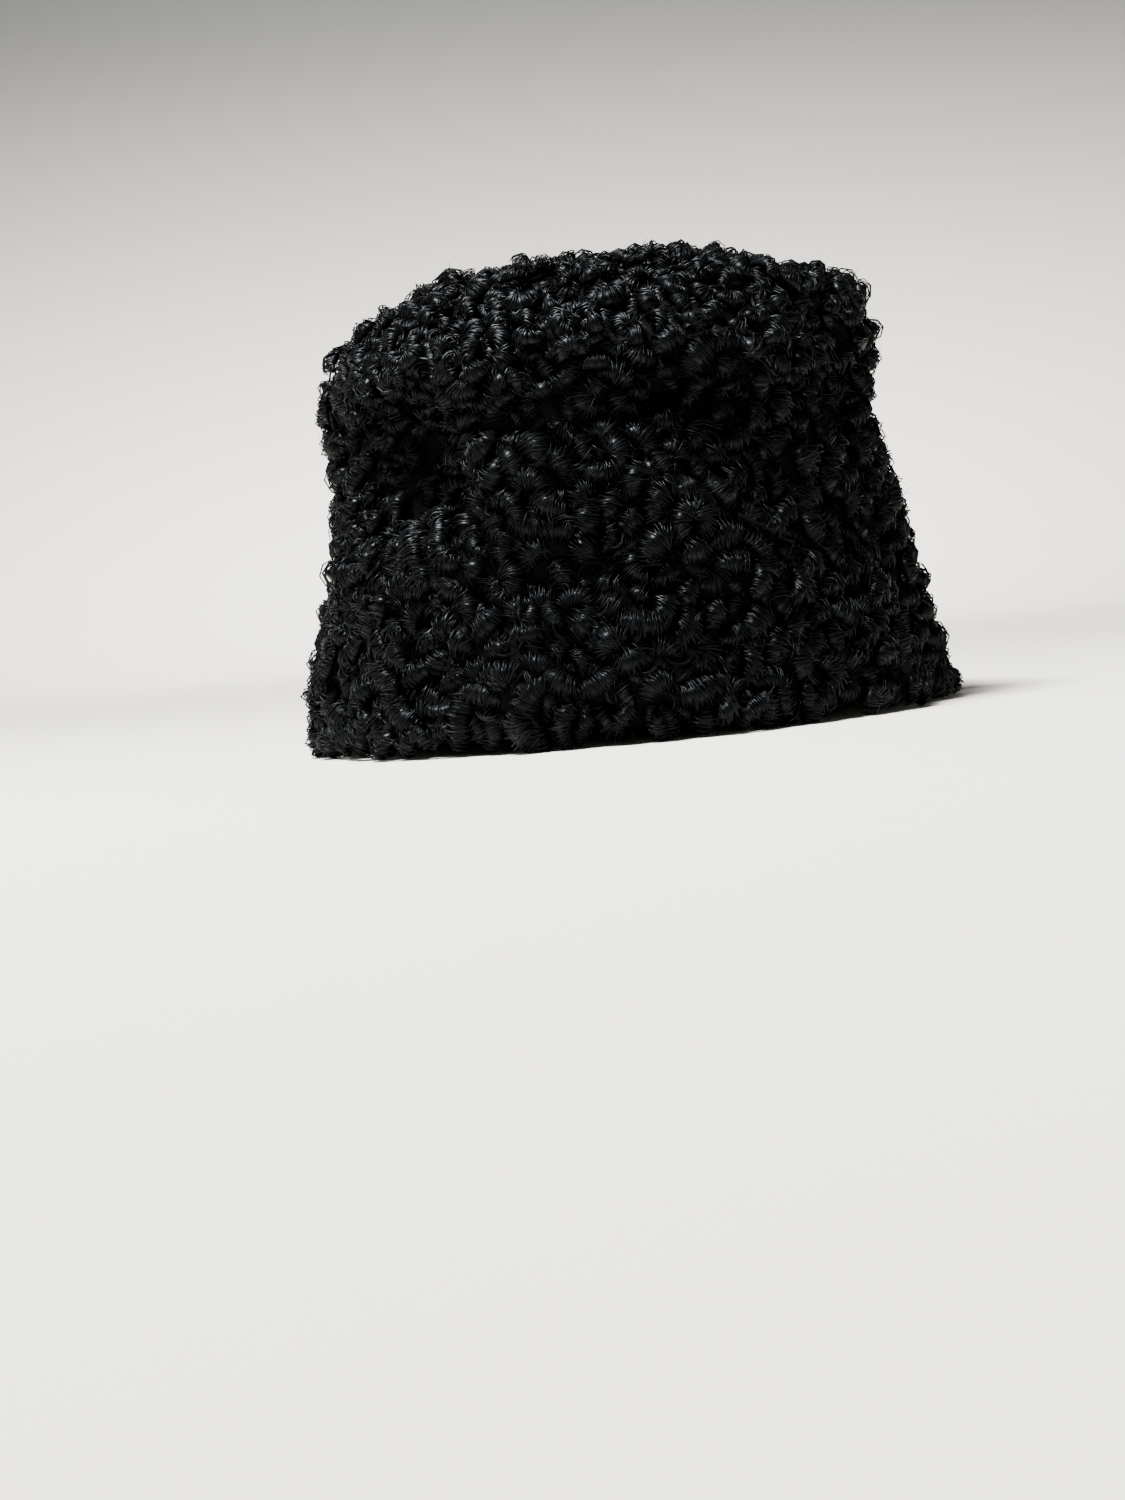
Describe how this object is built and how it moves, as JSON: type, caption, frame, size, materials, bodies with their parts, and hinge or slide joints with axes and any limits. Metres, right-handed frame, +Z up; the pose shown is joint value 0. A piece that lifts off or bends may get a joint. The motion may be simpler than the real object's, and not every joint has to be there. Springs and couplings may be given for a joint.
{
  "type": "curled lamb fur hat",
  "caption": "Round hat of black curled lamb fur, with a flared side band, a soft domed crown and an open head hollow, standing on its rim.",
  "frame": {"origin": "Middle of the rim, on the plane that the hat stands on.", "axes": "+Z up from the rim to the crown, -Y towards the front of the hat, +X towards the wearer's left."},
  "size_m": [0.179, 0.2028, 0.1315],
  "materials": {
    "curled_pelt": "glossy black curled hair on the skin"
  },
  "bodies": {
    "root": {"side_band": "curled_pelt", "crown": "curled_pelt"}
  },
  "joints": []
}
